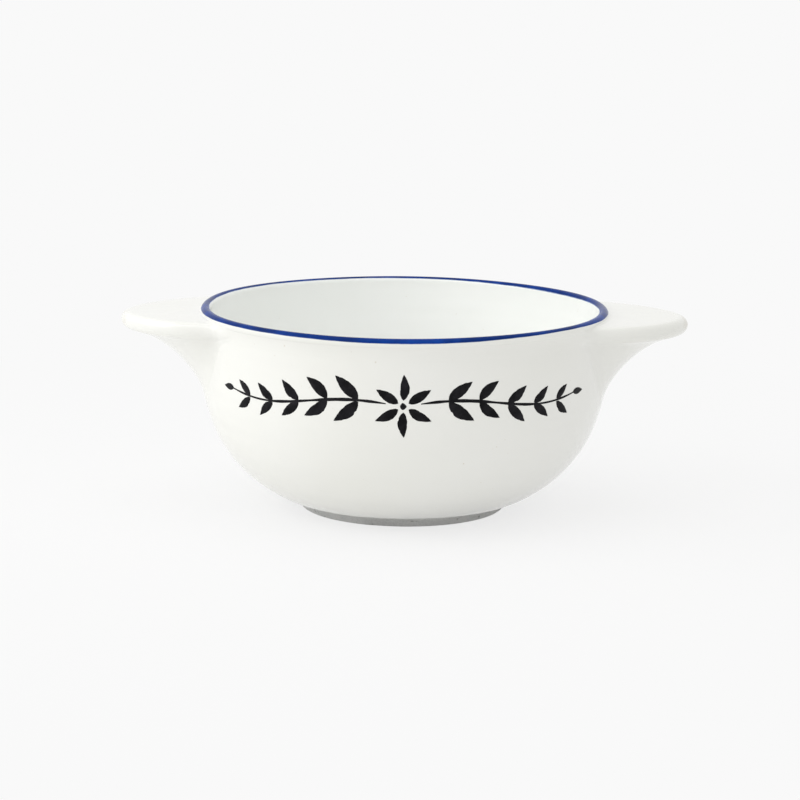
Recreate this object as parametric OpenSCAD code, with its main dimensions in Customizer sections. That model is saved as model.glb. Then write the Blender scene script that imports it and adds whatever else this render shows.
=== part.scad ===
// Lug bowl: a round earthenware breakfast bowl on a foot ring, with two flat lugs luted to its wall.
// Z is up, the foot stands on z = 0, the bowl's axis is the Z axis and the lugs lie along X.
// The painted front faces -Y.

/* [Bowl] */
// Diameter over the rim
rim_d = 130; // [116:1:160]
// Height from the table to the crest of the rim
bowl_h = 65; // [58:1:76]
// Thickness of the clay wall
wall_t = 3.4; // [2.6:0.1:4.4]
// Radius of the rolled edge of the rim
lip_r = 1.6; // [1.3:0.1:1.9]
// How far the rolled edge stands out past the wall
lip_out = 1; // [0.6:0.1:1.4]
// Depth of the hollow under the rolled edge, behind the face of the wall
neck_in = 0.4; // [0.1:0.1:0.8]
// Height from the crest down to the middle of that hollow
neck_drop = 6.4; // [5:0.2:8]

/* [Foot] */
// Diameter of the foot ring where it stands
foot_d = 65.5; // [54:0.5:76]
// Height of the foot ring
foot_h = 3.2; // [2:0.1:5]
// Width of the foot ring where it stands
foot_w = 4.6; // [3:0.2:8]
// How far the foot ring flares on each side on its way up
foot_flare = 1.4; // [0.4:0.1:2.4]

/* [Glaze and slip] */
// Thickness of the glaze
glaze_t = 0.35; // [0.2:0.05:0.6]
// Thickness of the slip that joins a lug to the wall
slip_t = 0.5; // [0.3:0.05:0.9]

/* [Lugs] */
// Length over both lugs
lug_span = 182; // [166:1:206]
// Width of a lug where it leaves the rim
lug_w = 55.5; // [44:0.5:68]
// Thickness of a lug at its edge
lug_t = 5.4; // [4:0.1:6.4]
// Height from the top of a lug up to the crest of the rim
lug_below = 2; // [1.6:0.1:4]
// How far the top of a lug falls from the rim to its tip
lug_fall = 0.5; // [0:0.1:2]
// Depth of a lug from its top to where its underside runs out on the wall
lug_depth = 37.5; // [28:0.5:46]
// Fillet between the top of a lug and the rim
lug_fillet = 0.5; // [0.3:0.05:0.8]
// Radius of the hollow corner where a lug's side runs into the rim
lug_corner = 4; // [2:0.5:8]

/* [Decoration] */
// Angle on the rolled edge where the blue line starts outside, up from the level
band_from = 15; // [0:1:40]
// Angle on the rolled edge where the blue line ends inside
band_to = 139; // [110:1:160]
// Thickness of the painted enamel
enamel_t = 0.15; // [0.1:0.05:0.3]
// Length of the painted garland along the wall
garland_l = 124; // [90:1:140]
// Height of the middle of the garland
garland_z = 44.5; // [38:0.5:50]
// Length of a garland leaf
leaf_l = 9.5; // [6:0.5:12]
// Width of a garland leaf
leaf_w = 3.6; // [2:0.1:5]
// Width of the garland's stem
stem_w = 1.1; // [0.6:0.1:2]
// Number of leaf pairs on each side
leaf_pairs = 5; // [3:1:7]

/* [Hidden] */

$fn = 180;

// Colours
clay = [0.9, 0.86, 0.79];
bare_foot = [0.64, 0.64, 0.64];
slip = [0.86, 0.8, 0.72];
white_glaze = [0.95, 0.955, 0.94];
cobalt = [0.02, 0.16, 0.6];
black_enamel = [0.04, 0.04, 0.045];

// Main radii and heights of the glazed bowl
rim_r = rim_d / 2;
wall_r = rim_r - lip_out;
neck_r = wall_r - neck_in;
foot_r = foot_d / 2;
foot_top_r = foot_r + foot_flare;
skin_t = wall_t + 2 * glaze_t;
belly_z = foot_h - glaze_t;
floor_z = belly_z + skin_t;
neck_z = bowl_h - neck_drop;
lip_c = [rim_r - lip_r, bowl_h - lip_r];

// The belly is one curve that leaves the foot level and comes up plumb at the shoulder
shoulder_share = 0.642;
foot_pull_share = 0.2;
wall_pull_share = 0.68;
shoulder_z = bowl_h * shoulder_share;
belly = [[foot_top_r, belly_z],
    [foot_top_r + (wall_r - foot_top_r) * foot_pull_share, belly_z],
    [wall_r, shoulder_z - (shoulder_z - belly_z) * wall_pull_share],
    [wall_r, shoulder_z]];

// From the shoulder the wall closes in to the neck, then swells into the rolled edge
third_share = 1 / 3;
lip_start = -45;
lip_foot = lip_c + lip_r * [cos(lip_start), sin(lip_start)];
neck_pull = (lip_foot[1] - neck_z) * third_share;
upper_wall = [[wall_r, shoulder_z],
    [wall_r, shoulder_z + (neck_z - shoulder_z) * third_share],
    [neck_r, neck_z - (neck_z - shoulder_z) * third_share],
    [neck_r, neck_z]];
under_lip = [[neck_r, neck_z],
    [neck_r, neck_z + neck_pull],
    lip_foot - neck_pull * [-sin(lip_start), cos(lip_start)],
    lip_foot];

// The throat runs down inside from the rolled edge to the shoulder
crest = 90;
lip_end = 180;
throat_top = lip_c - [lip_r, 0];
throat_end = [wall_r - skin_t, shoulder_z];
throat_pull = (throat_top[1] - throat_end[1]) * third_share;
throat = [throat_top, throat_top - [0, throat_pull], throat_end + [0, throat_pull], throat_end];

// Steps along each part of the outline
belly_n = 16;
wall_n = 4;
neck_n = 5;
throat_n = 7;
lip_step = 14;

// Cuts that have to pass right through a piece
overrun = 1;

// Points on a cubic curve, set back to the left of its direction by a depth
function bez(p, t) = pow(1 - t, 3) * p[0] + 3 * t * pow(1 - t, 2) * p[1]
    + 3 * pow(t, 2) * (1 - t) * p[2] + pow(t, 3) * p[3];
function bez_way(p, t) = pow(1 - t, 2) * (p[1] - p[0]) + 2 * t * (1 - t) * (p[2] - p[1])
    + pow(t, 2) * (p[3] - p[2]);
function left_of(v) = [-v[1], v[0]] / norm(v);
function bez_at(p, t, depth) = bez(p, t) + depth * left_of(bez_way(p, t));
function bez_line(p, n, depth, first = 0) = [for (i = [first:n]) bez_at(p, i / n, depth)];
function backwards(line) = [for (i = [len(line) - 1:-1:0]) line[i]];

// The rolled edge from one angle to another, at a depth under the glaze
function lip_arc(from, to, depth, first = 0) =
    let (n = ceil((to - from) / lip_step))
    [for (i = [first:n])
        let (a = from + (to - from) * i / n)
        lip_c + (lip_r - depth) * [cos(a), sin(a)]];

// The outside from the foot to the start of the rolled edge, and the inside down to the axis
function outside(depth) = concat(
    bez_line(belly, belly_n, depth),
    bez_line(upper_wall, wall_n, depth, 1),
    bez_line(under_lip, neck_n, depth, 1));
function inside(depth) = concat(
    bez_line(throat, throat_n, depth, 1),
    [for (i = [belly_n - 1:-1:0]) bez_at(belly, i / belly_n, skin_t - depth)],
    [[0, floor_z - depth]]);
function outline(depth) = concat(
    outside(depth),
    lip_arc(lip_start, band_from, depth, 1),
    lip_arc(band_from, band_to, depth, 1),
    lip_arc(band_to, lip_end, depth, 1),
    inside(depth));

// A coat between two depths, from two outlines that run the same way
module coat(front, back) {
    rotate_extrude() polygon(concat(front, backwards(back)));
}

module bowl_wall() {
    color(clay) rotate_extrude() polygon(concat([[0, foot_h]], outline(glaze_t)));
}

// The ring's faces stand plumb for the thickness of the glaze, which ends against them
foot_in_r = foot_r - foot_w;
foot_top_in_r = foot_in_r - foot_flare;
module foot_ring() {
    color(bare_foot) rotate_extrude() polygon([
        [foot_in_r, 0],
        [foot_r, 0],
        [foot_top_r, belly_z],
        [foot_top_r, foot_h],
        [foot_top_in_r, foot_h],
        [foot_top_in_r, belly_z]]);
}

module base_glaze() {
    color(white_glaze) translate([0, 0, belly_z]) cylinder(h = glaze_t, r = foot_top_in_r);
}

module inner_glaze() {
    color(white_glaze) coat(
        concat(lip_arc(band_to, lip_end, 0), inside(0)),
        concat(lip_arc(band_to, lip_end, glaze_t), inside(glaze_t)));
}

module rim_band() {
    color(cobalt) coat(lip_arc(band_from, band_to, 0), lip_arc(band_from, band_to, glaze_t));
}

// How far the bowl reaches at a height, at a depth under its glaze
function wall_table(depth) = [
    for (p = concat(outside(depth), lip_arc(lip_start, crest, depth, 1))) [p[1], p[0]]];
table_glazed = wall_table(0);
table_seat = wall_table(glaze_t - slip_t);
table_clay = wall_table(glaze_t);

// Plan of a lug: half of a rounded, slightly pointed oval from the tip round to its side,
// then a hollow corner that turns along the rim and sinks into the neck
lug_e = lug_t / 2;
lug_top = bowl_h - lug_below;
lug_point = 1.66;
lug_sink_share = 0.97;
lug_c = wall_r * lug_sink_share;
lug_reach = lug_span / 2 - lug_c;
tail_clay_share = 0.03;
tail_r = lookup(lug_top - lug_e, table_glazed) + slip_t + lug_t * tail_clay_share;
oval_n = 8;
corner_n = 3;
tail_n = 2;
tail_turn = 4;
corner_turn = 62;

function oval(a) = [lug_c + lug_reach * pow(cos(a), 2 / lug_point), lug_w / 2 * pow(sin(a), 2 / lug_point)];
// Where the straight side stops, so that the corner ends on the rim's circle
corner_end_y = lug_w / 2 + lug_corner * (1 - cos(corner_turn));
corner_end_x = sqrt(pow(rim_r, 2) - pow(corner_end_y, 2));
side_end = [corner_end_x + lug_corner * sin(corner_turn), lug_w / 2];
function corner(a) = side_end + lug_corner * [-sin(a), 1 - cos(a)];
tail_from = atan2(corner_end_y, corner_end_x);
function polar(p) = [atan2(p[1], p[0]), norm(p)];
// Each entry is the direction of a radial section and how far the lug reaches there
half_plan = concat(
    [for (i = [1:oval_n]) polar(oval(90 * i / oval_n))],
    [for (i = [1:corner_n]) polar(corner(corner_turn * i / corner_n))],
    [for (i = [1:tail_n]) [tail_from + tail_turn * i / tail_n, rim_r - (rim_r - tail_r) * i / tail_n]]);
plan = concat(
    [for (s = backwards(half_plan)) [-s[0], s[1]]],
    [[0, lug_span / 2]],
    half_plan);

// The face of a lug in a radial section where its edge reaches r, at a depth under its glaze:
// the fillet at the rim, the flat top, the round nose and the sweep under it down to the wall
fillet_n = 8;
nose_n = 16;
under_n = 24;
nose_end = -79;
run_out_share = 0.7;
root_pull_share = 0.18;
spread = 0.9;
root_bury = 2 * glaze_t;
function reach_of(r) = max(0, (r - tail_r) / (lug_span / 2 - tail_r));
function under_line(r, start) =
    let (
        low = lug_top - lug_t - (lug_depth - lug_t) * pow(reach_of(r), spread),
        root = [lookup(low, table_glazed) - root_bury, low],
        pull = (start[0] - root[0]) * run_out_share)
    [start,
        start + pull * [sin(nose_end), -cos(nose_end)],
        root + [0, (start[1] - low) * root_pull_share],
        root];
function face_line(r, depth) =
    let (
        c = [r - lug_e, lug_top - lug_fall * reach_of(r) - lug_e],
        f = [min(rim_r + lug_fillet, c[0]), lug_top + lug_fillet],
        under = under_line(r, c + lug_e * [cos(nose_end), sin(nose_end)]))
    concat(
        [for (i = [0:fillet_n]) let (a = 180 + 90 * i / fillet_n)
            f + (lug_fillet + depth) * [cos(a), sin(a)]],
        [for (i = [0:nose_n]) let (a = 90 + (nose_end - 90) * i / nose_n)
            c + (lug_e - depth) * [cos(a), sin(a)]],
        bez_line(under, under_n, -depth, 1));

// The stretch of that face which stands clear of the wall, with both its ends on the wall
face_n = 15;
function clear_face(line, table) =
    let (
        clear = [for (i = [0:len(line) - 1]) if (line[i][0] > lookup(line[i][1], table)) i],
        from = min(clear),
        to = max(clear))
    [for (j = [0:face_n])
        let (
            at = from + (to - from) * j / face_n,
            i = min(floor(at), len(line) - 2),
            p = line[i] + (at - i) * (line[i + 1] - line[i]))
        [j == 0 || j == face_n ? lookup(p[1], table) : p[0], p[1]]];

// Points up the wall between the two ends of a face
seat_n = 8;
function up_wall(face, table, first = 0, last = seat_n) =
    let (low = face[face_n][1], high = face[0][1])
    [for (i = [first:last]) let (z = low + (high - low) * i / seat_n) [lookup(z, table), z]];

// The glaze on a lug lies on the same points as its clay and runs on down to the glazed wall
clay_faces = [for (s = plan) clear_face(face_line(s[1], glaze_t), table_seat)];
glaze_faces = [for (s = plan) clear_face(face_line(s[1], 0), table_glazed)];
under_glaze_faces = [for (k = [0:len(plan) - 1])
    let (whole = clear_face(face_line(plan[k][1], glaze_t), table_glazed))
    concat([whole[0]], clay_faces[k], [whole[face_n]])];

// A skin stretched over one closed outline per radial section, with flat ends.
// Outlines that run clockwise, seen with their radius to the right, are the plain case.
module skinned(lines, clockwise = true) {
    rows = [for (k = [0:len(plan) - 1]) let (a = plan[k][0])
        [for (p = lines[k]) [p[0] * cos(a), p[0] * sin(a), p[1]]]];
    m = len(rows[0]);
    k = len(rows);
    faces = concat(
        [for (i = [0:k - 2]) for (j = [0:m - 1]) each
            let (a = i * m + j, b = i * m + (j + 1) % m, c = a + m, d = b + m)
            [[a, c, b], [b, c, d]]],
        [[for (j = [0:m - 1]) j]],
        [[for (j = [m - 1:-1:0]) (k - 1) * m + j]]);
    polyhedron(
        points = [for (row = rows) each row],
        faces = clockwise ? faces : [for (face = faces) backwards(face)],
        convexity = 6);
}

module lug() {
    color(clay) skinned([for (face = clay_faces)
        concat(face, up_wall(face, table_seat, 1, seat_n - 1))]);
}

module lug_slip() {
    color(slip) skinned(
        [for (face = clay_faces)
            concat(up_wall(face, table_seat), backwards(up_wall(face, table_clay)))],
        clockwise = false);
}

module lug_glaze() {
    color(white_glaze) skinned(
        [for (k = [0:len(plan) - 1])
            concat(under_glaze_faces[k], backwards(glaze_faces[k]))],
        clockwise = false);
}

module on_left() {
    mirror([1, 0, 0]) children();
}

module right_lug() {
    lug();
}

module left_lug() {
    on_left() lug();
}

module right_lug_slip() {
    lug_slip();
}

module left_lug_slip() {
    on_left() lug_slip();
}

module right_lug_glaze() {
    lug_glaze();
}

module left_lug_glaze() {
    on_left() lug_glaze();
}

// The glaze outside leaves a window at each lug, where clay meets clay
function root_side(end, table) = [for (k = [0:len(plan) - 1])
    let (z = clay_faces[k][end][1])
    [lookup(z, table) * sin(plan[k][0]), z]];
module lug_windows() {
    rotate([90, 0, 90])
        linear_extrude(height = 2 * (rim_r + overrun), center = true)
            polygon(concat(root_side(0, table_clay), backwards(root_side(face_n, table_clay))));
}
module outer_glaze() {
    color(white_glaze) difference() {
        coat(
            concat(outside(0), lip_arc(lip_start, band_from, 0, 1)),
            concat(outside(glaze_t), lip_arc(lip_start, band_from, glaze_t, 1)));
        lug_windows();
    }
}

// The garland is drawn flat along the wall and carried to the front view of the round wall
function on_wall(p) = [wall_r * sin(p[0] * 180 / (PI * wall_r)), p[1]];
brush_n = 9;
leaf_heel = 0.8;
leaf_fullness = 0.85;
function leaf_half(i, l, w) =
    let (t = i / brush_n)
    [l * t, w / 2 * pow(sin(180 * pow(t, leaf_heel)), leaf_fullness)];
function leaf_outline(l, w) = concat(
    [for (i = [0:brush_n]) leaf_half(i, l, w)],
    [for (i = [brush_n - 1:-1:1]) let (p = leaf_half(i, l, w)) [p[0], -p[1]]]);
function turned(line, a, at) = [for (p = line)
    at + [p[0] * cos(a) - p[1] * sin(a), p[0] * sin(a) + p[1] * cos(a)]];

module painted(line) {
    polygon([for (p = line) on_wall(p)]);
}

stem_n = 16;
stem_wave_share = 0.16;
stem_taper_share = 0.8;
heart_gap_share = 0.085;
function stem_at(t) = [garland_l / 2 * t, garland_z + leaf_l * stem_wave_share * sin(360 * t)];
function stem_side(side) = [for (i = [0:stem_n])
    let (
        t = heart_gap_share + (1 - heart_gap_share) * i / stem_n,
        taper = sqrt(1 - stem_taper_share * i / stem_n))
    stem_at(t) + [0, side * stem_w / 2 * taper]];

leaf_tilt = 38;
leaf_first_share = 0.22;
leaf_fade_share = 0.35;
last_leaf_share = 0.6;
berry_share = 0.28;
petal_share = 0.82;
berry_r = leaf_w * berry_share;
petal_l = leaf_l * petal_share;
petal_n = 6;

module half_garland() {
    painted(concat(stem_side(1), backwards(stem_side(-1))));
    for (i = [0:leaf_pairs - 1])
        let (
            t = leaf_first_share + (1 - leaf_first_share) * i / leaf_pairs,
            size = 1 - leaf_fade_share * i / leaf_pairs)
        for (side = [-1, 1])
            painted(turned(
                leaf_outline(leaf_l * size, leaf_w * size),
                side * leaf_tilt,
                stem_at(t) + [0, side * stem_w / 2]));
    painted(turned(
        leaf_outline(leaf_l * last_leaf_share, leaf_w * last_leaf_share),
        0,
        stem_at(1) - [stem_w, 0]));
}

module garland() {
    half_garland();
    mirror([1, 0]) half_garland();
    for (i = [0:petal_n - 1])
        let (a = 90 + 360 * i / petal_n)
        painted(turned(
            leaf_outline(petal_l, leaf_w),
            a,
            [0, garland_z] + leaf_w / 2 * [cos(a), sin(a)]));
    translate([0, garland_z]) circle(r = berry_r);
}

module front_motif() {
    color(black_enamel) intersection() {
        coat(outside(-enamel_t), outside(0));
        rotate([90, 0, 0]) linear_extrude(height = rim_r) garland();
    }
}

bowl_wall();
foot_ring();
right_lug();
left_lug();
right_lug_slip();
left_lug_slip();
outer_glaze();
inner_glaze();
base_glaze();
right_lug_glaze();
left_lug_glaze();
rim_band();
front_motif();
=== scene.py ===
from math import asin, cos, pi, radians, sin, sqrt

import bpy
import numpy as np
from mathutils import Matrix, Vector


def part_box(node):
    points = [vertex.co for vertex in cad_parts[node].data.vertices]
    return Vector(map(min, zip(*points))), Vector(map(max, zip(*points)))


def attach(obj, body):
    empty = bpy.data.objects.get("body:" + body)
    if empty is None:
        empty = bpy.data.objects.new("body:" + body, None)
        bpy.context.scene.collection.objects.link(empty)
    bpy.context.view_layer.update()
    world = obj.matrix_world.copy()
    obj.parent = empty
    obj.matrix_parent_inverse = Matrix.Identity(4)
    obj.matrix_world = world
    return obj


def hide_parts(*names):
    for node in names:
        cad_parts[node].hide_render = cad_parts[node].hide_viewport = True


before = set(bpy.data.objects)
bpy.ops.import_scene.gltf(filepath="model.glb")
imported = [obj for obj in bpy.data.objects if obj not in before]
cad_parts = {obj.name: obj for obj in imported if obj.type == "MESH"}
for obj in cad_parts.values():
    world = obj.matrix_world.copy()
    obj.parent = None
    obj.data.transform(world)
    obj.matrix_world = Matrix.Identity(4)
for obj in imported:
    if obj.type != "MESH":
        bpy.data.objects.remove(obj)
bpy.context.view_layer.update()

MM = 0.001

# What is added to a length and to an area before a division by it
tiny = 1e-9
tiny_area = 1e-12

# Sizes that the solids give
bowl_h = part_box("rim_band")[1].z / MM
lug_span = 2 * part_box("right_lug_glaze")[1].x / MM
foot_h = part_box("foot_ring")[1].z / MM
foot_top_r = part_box("foot_ring")[1].x / MM
belly_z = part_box("outer_glaze")[0].z / MM
glaze_t = foot_h - belly_z

# Sizes of the bowl
rim_r = 65.0
wall_t = 3.4
lip_r = 1.6
lip_out = 1.0
neck_in = 0.4
neck_drop = 6.4
foot_r = 32.75
foot_w = 4.6
foot_flare = foot_top_r - foot_r
wall_r = rim_r - lip_out
skin_t = wall_t + 2 * glaze_t
floor_z = belly_z + skin_t
lip_middle = np.array([rim_r - lip_r, bowl_h - lip_r])

# Sizes of a lug
lug_w = 55.5
lug_t = 5.4
lug_below = 2.0
lug_fall = 0.5
lug_depth = 37.5
lug_fillet = 0.5
lug_corner = 4.0
slip_t = 0.5


def cubic(p, t):
    """Points of a cubic curve at the shares t."""
    t = np.asarray(t)[:, None]
    p = np.asarray(p, float)
    return (1 - t) ** 3 * p[0] + 3 * t * (1 - t) ** 2 * p[1] + 3 * t ** 2 * (1 - t) * p[2] + t ** 3 * p[3]


def cubic_way(p, t):
    """The direction of a cubic curve at the shares t, as unit vectors."""
    t = np.asarray(t)[:, None]
    p = np.asarray(p, float)
    way = (1 - t) ** 2 * (p[1] - p[0]) + 2 * t * (1 - t) * (p[2] - p[1]) + t ** 2 * (p[3] - p[2])
    return way / np.linalg.norm(way, axis=1)[:, None]


def set_back(p, t, depth):
    """Points to the left of a cubic curve by a depth."""
    way = cubic_way(p, t)
    return cubic(p, t) + depth * np.stack([-way[:, 1], way[:, 0]], axis=1)


# The outline of the wall, the same curves as the solids have
shoulder_share = 0.642
foot_pull_share = 0.2
wall_pull_share = 0.68
shoulder_z = bowl_h * shoulder_share
neck_z = bowl_h - neck_drop
neck_r = wall_r - neck_in
lip_start = radians(-45)
lip_foot = lip_middle + lip_r * np.array([cos(lip_start), sin(lip_start)])
foot_pull = (wall_r - foot_top_r) * foot_pull_share
wall_pull = (shoulder_z - belly_z) * wall_pull_share
neck_run = (neck_z - shoulder_z) / 3
neck_pull = (lip_foot[1] - neck_z) / 3
belly = [
    (foot_top_r, belly_z),
    (foot_top_r + foot_pull, belly_z),
    (wall_r, shoulder_z - wall_pull),
    (wall_r, shoulder_z),
]
upper_wall = [
    (wall_r, shoulder_z),
    (wall_r, shoulder_z + neck_run),
    (neck_r, neck_z - neck_run),
    (neck_r, neck_z),
]
under_lip = [
    (neck_r, neck_z),
    (neck_r, neck_z + neck_pull),
    tuple(lip_foot - neck_pull * np.array([-sin(lip_start), cos(lip_start)])),
    tuple(lip_foot),
]
throat_top = lip_middle - np.array([lip_r, 0])
throat_end = np.array([wall_r - skin_t, shoulder_z])
throat_pull = np.array([0, (throat_top[1] - throat_end[1]) / 3])
throat = [throat_top, throat_top - throat_pull, throat_end + throat_pull, throat_end]


# Steps along the belly, along each part of the neck and round the rolled edge
belly_n = 160
neck_n = 40
lip_n = 90


def steps(n, first=0):
    """Even shares of a curve, from the first step to the last."""
    return np.arange(first, n + 1) / n


def lip_arc(angles):
    """Points on the rolled edge at angles from the level, in radians."""
    return lip_middle + lip_r * np.stack([np.cos(angles), np.sin(angles)], axis=1)


outside_line = np.concatenate([
    cubic(belly, steps(belly_n)),
    cubic(upper_wall, steps(neck_n, 1)),
    cubic(under_lip, steps(neck_n, 1)),
    lip_arc(np.linspace(lip_start, pi / 2, lip_n)[1:]),
])


def wall_at(z):
    """How far the glazed wall reaches at heights z."""
    return np.interp(z, outside_line[:, 1], outside_line[:, 0])


def evened(line, n, weight=None):
    """A line redrawn with n points, spaced evenly or by a weight on its stretches."""
    step = np.linalg.norm(np.diff(line, axis=0), axis=1)
    if weight is not None:
        step = step * weight
    way = np.concatenate([[0], np.cumsum(step)])
    at = np.linspace(0, way[-1], n)
    return np.stack([np.interp(at, way, line[:, 0]), np.interp(at, way, line[:, 1])], axis=1)


# The plan of a lug: how far it reaches from the axis in each direction, in degrees from its middle
lug_point = 1.66
lug_sink_share = 0.97
tail_clay_share = 0.03
lug_half_t = lug_t / 2
lug_top = bowl_h - lug_below
lug_middle = wall_r * lug_sink_share
lug_reach = lug_span / 2 - lug_middle
corner_turn = radians(62)
tail_r = float(wall_at(lug_top - lug_half_t)) + slip_t + lug_t * tail_clay_share
tail_turn = 4.0
sink_turn = 9.0
sink_in = 5.0
sink_r = rim_r - sink_in
lug_half_turn = 44.0
oval_n = 240
corner_n = 40


def lug_plan():
    """Directions in degrees and reaches: the oval tip, the hollow corner and the tail along the rim."""
    a = np.linspace(0, pi / 2, oval_n)
    oval = np.stack([
        lug_middle + lug_reach * np.cos(a) ** (2 / lug_point),
        lug_w / 2 * np.sin(a) ** (2 / lug_point)], axis=1)
    end_y = lug_w / 2 + lug_corner * (1 - cos(corner_turn))
    end_x = sqrt(rim_r ** 2 - end_y ** 2)
    b = np.linspace(0, corner_turn, corner_n)[1:]
    side_end = np.array([end_x + lug_corner * sin(corner_turn), lug_w / 2])
    corner = side_end + lug_corner * np.stack([-np.sin(b), 1 - np.cos(b)], axis=1)
    line = np.concatenate([oval, corner])
    turn = np.degrees(np.arctan2(line[:, 1], line[:, 0]))
    reach = np.linalg.norm(line, axis=1)
    turn = np.concatenate([turn, [turn[-1] + tail_turn, turn[-1] + sink_turn, 180]])
    reach = np.concatenate([reach, [tail_r + glaze_t, sink_r, sink_r]])
    return turn, reach


plan_turn, plan_reach = lug_plan()


# The degrees over which the tip and the corners of the plan are eased
tip_ease = 0.8
tip_ease_to = 1.6
tip_ease_n = 17


def reach_at(turn):
    """How far a lug reaches at angles in degrees from its middle, with its tip and corners eased."""
    ease = np.linspace(-tip_ease_to, tip_ease_to, tip_ease_n)
    share = np.exp(-(ease / tip_ease) ** 2)
    near = np.abs(np.asarray(turn)[:, None] + ease[None, :])
    return np.interp(near, plan_turn, plan_reach) @ (share / share.sum())


def lug_share(reach):
    """The share of the way from a lug's tail to its tip."""
    return max(0.0, (reach - tail_r) / (lug_span / 2 - tail_r))


# The power with which a lug's root drops from its tail to its tip, where 1 is even
root_power = 0.9


def root_z(reach):
    """Height at which the underside of a lug runs out on the wall."""
    return lug_top - lug_t - (lug_depth - lug_t) * lug_share(reach) ** root_power


# How far a lug melts into the wall, and over what height that fades at its join and its root
melt = 2.4
melt_join = 2.5
melt_root = 4.0
melt_least = 0.001

# Where the fillet on a lug's top ends against the wall
lug_join_z = lug_top + lug_fillet

# How far glaze pools along a section, and over what length that fades at its ends
glaze_pool = 1.5
pool_fade = 1.2
pool_n = 400


def pooled(line):
    """A section with glaze pooled in its hollow corners, and its round corners left as they are."""
    fine = evened(line, pool_n)
    step = np.linalg.norm(np.diff(line, axis=0), axis=1).sum() / (pool_n - 1)
    far = int(3 * glaze_pool / step) + 1
    share = np.exp(-((np.arange(-far, far + 1) * step / glaze_pool) ** 2) / 2)
    share /= share.sum()
    far = min(far, pool_n - 1)
    before = 2 * fine[0] - fine[far:0:-1]
    after = 2 * fine[-1] - fine[-2:-far - 2:-1]
    long = np.concatenate([before, fine, after])
    soft = np.stack([np.convolve(long[:, k], share, mode="same")[far:far + pool_n] for k in (0, 1)], axis=1)
    way = np.gradient(fine, axis=0)
    out = np.stack([way[:, 1], -way[:, 0]], axis=1) / np.linalg.norm(way, axis=1)[:, None]
    rise = np.clip(((soft - fine) * out).sum(axis=1), 0, None)
    edge = np.clip(np.minimum(np.arange(pool_n), np.arange(pool_n)[::-1]) * step / pool_fade, 0, 1)
    return fine + out * (rise * edge)[:, None]


# The sweep under a lug: where the round nose ends, and how far its curve runs on from each end
nose_end = radians(-79)
run_out_share = 0.7
root_pull_share = 0.18

# Points on each stretch of a section: under the lug, round its nose, along its top and in its fillet
under_n = 120
nose_n = 60
level_n = 40
fillet_n = 24

# How much closer the points of a section stand where it turns, up to a bend in radians per millimetre
bend_weight = 3
bend_most = 1.2
bend_span = 9


def lug_section(reach, n):
    """The face of a lug from the wall under it, round its edge and back to the rim."""
    nose_at = np.array([reach - lug_half_t, lug_top - lug_fall * lug_share(reach) - lug_half_t])
    low = root_z(reach)
    start = nose_at + lug_half_t * np.array([cos(nose_end), sin(nose_end)])
    root = np.array([float(wall_at(low)) - 2 * glaze_t, low])
    pull = max(0.0, start[0] - root[0]) * run_out_share
    under = [
        tuple(root),
        tuple(root + np.array([0, (start[1] - low) * root_pull_share])),
        tuple(start + pull * np.array([sin(nose_end), -cos(nose_end)])),
        tuple(start),
    ]
    nose_a = np.linspace(nose_end, pi / 2, nose_n)[1:]
    nose = nose_at + lug_half_t * np.stack([np.cos(nose_a), np.sin(nose_a)], axis=1)
    fillet_at = np.array([min(rim_r + lug_fillet, nose_at[0]), lug_join_z])
    fillet_a = np.linspace(1.5 * pi, pi, fillet_n)
    fillet = fillet_at + lug_fillet * np.stack([np.cos(fillet_a), np.sin(fillet_a)], axis=1)
    level = np.linspace(0, 1, level_n)[1:-1, None]
    top = nose[-1] + level * (fillet[0] - nose[-1])
    line = np.concatenate([cubic(under, steps(under_n)), nose, top, fillet])
    wall = wall_at(line[:, 1])
    from_join = np.clip((lug_join_z - line[:, 1]) / melt_join, 0, 1)
    from_root = np.clip((line[:, 1] - low) / melt_root, 0, 1)
    soft = melt * from_join * from_root + melt_least
    gap = np.clip(soft - np.abs(line[:, 0] - wall), 0, None) / soft
    line[:, 0] = np.maximum(line[:, 0], wall) + gap ** 2 * soft / 4
    line[0, 0] = wall[0]
    line[-1] = [float(wall_at(lug_join_z)), lug_join_z]
    line = pooled(line)
    way = np.diff(line, axis=0)
    length = np.linalg.norm(way, axis=1) + tiny
    turn = np.unwrap(np.arctan2(way[:, 1], way[:, 0]))
    bend = np.abs(np.gradient(turn)) / length
    bend = np.convolve(bend, np.ones(bend_span) / bend_span, mode="same")
    return evened(line, n, 1 + bend_weight * np.clip(bend, 0, bend_most))


# Hand-made unevenness, the same for every coat, so that they stay together.
# Waves round the bowl as millimetres, number and start: out of round, and up and down.
round_waves = ((0.14, 2, 0.6), (0.06, 3, 2.1))
level_waves = ((0.1, 2, 2.2), (0.07, 5, 0.4))
# The throwing rings, a slow one that leans round the bowl and a finer one: millimetres, radians per mm
slow_ring = (0.035, 0.62)
slow_ring_lean = 0.8
fine_ring = (0.02, 1.31)


def waves_round(turn, waves):
    """The sum of waves round the bowl, each as size, number and start."""
    return sum(size * np.sin(number * turn + start) for size, number, start in waves)


def by_hand(points):
    """Moves points as the potter's hand and the fire left the bowl: a little out of round and level."""
    x, y, z = points[..., 0], points[..., 1], points[..., 2]
    turn = np.arctan2(y, x)
    high = np.clip(z / bowl_h, 0, 1) ** 2
    out = high * waves_round(turn, round_waves)
    ring = slow_ring[0] * np.sin(z * slow_ring[1] + slow_ring_lean * np.sin(turn + 1))
    ring = ring + fine_ring[0] * np.sin(z * fine_ring[1] + turn)
    up = high ** 2 * waves_round(turn, level_waves)
    r = np.sqrt(x ** 2 + y ** 2) + tiny
    share = (out + ring * np.clip(r / wall_r, 0, 1)) / r
    return np.stack([x * (1 + share), y * (1 + share), z + up], axis=-1)


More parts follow.
